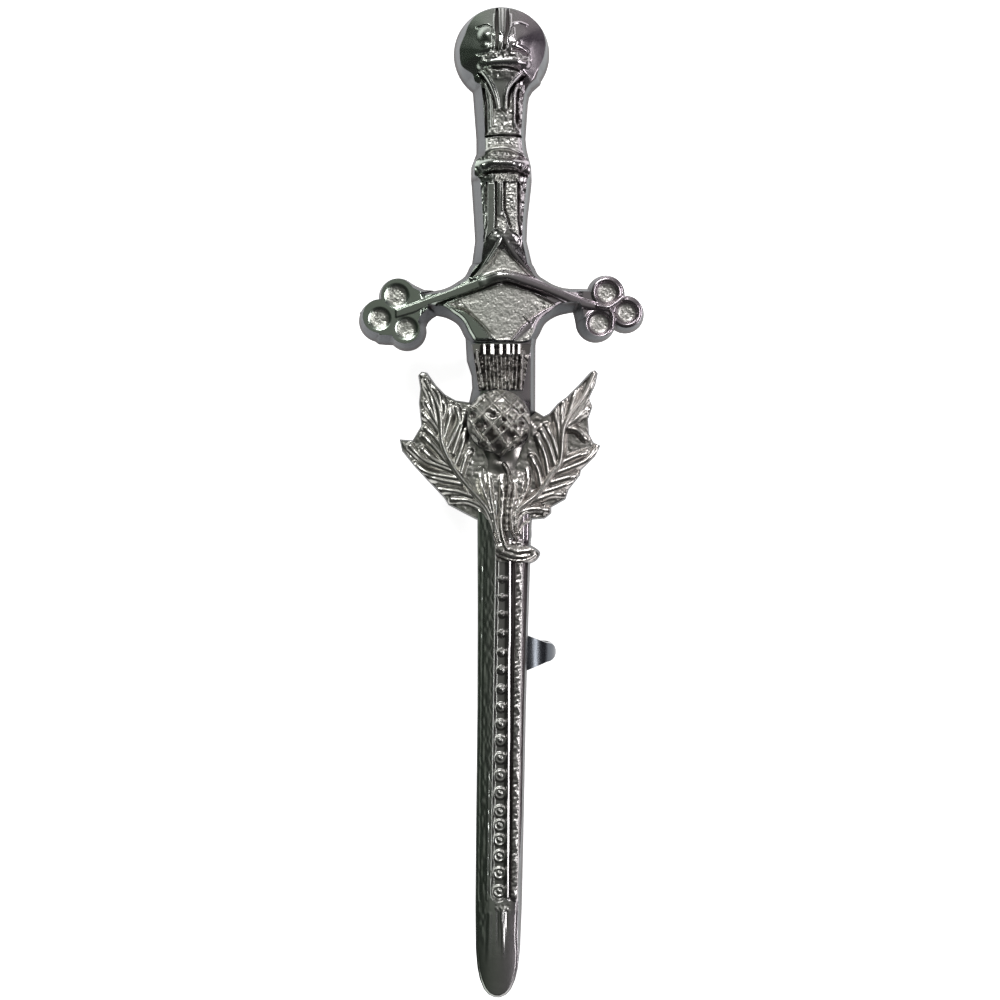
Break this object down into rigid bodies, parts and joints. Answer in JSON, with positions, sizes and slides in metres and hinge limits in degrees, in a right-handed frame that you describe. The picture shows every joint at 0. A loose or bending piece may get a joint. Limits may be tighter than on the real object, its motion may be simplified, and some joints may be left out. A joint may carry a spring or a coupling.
{
  "type": "kilt pin",
  "caption": "Cast metal kilt pin in the shape of a sword with a thistle spray, on a straight pin with a bent catch",
  "frame": {"origin": "middle of the outline, on the surface that the pin lies on", "axes": "+Y to the pommel along the length, +Z out of the decorated front through the thickness, +X across the guard to the side where the catch shows"},
  "size_m": [0.0295, 0.102, 0.0122],
  "materials": {
    "gunmetal_casting": "cast, barrel polished and plated to a dark gunmetal, with frosted hollows and matt side walls",
    "steel_fitting": "bright nickel plate on bent strip and wire"
  },
  "bodies": {
    "root": {"front_casting": "gunmetal_casting", "catch": "steel_fitting", "pin_back": "steel_fitting"}
  },
  "joints": []
}
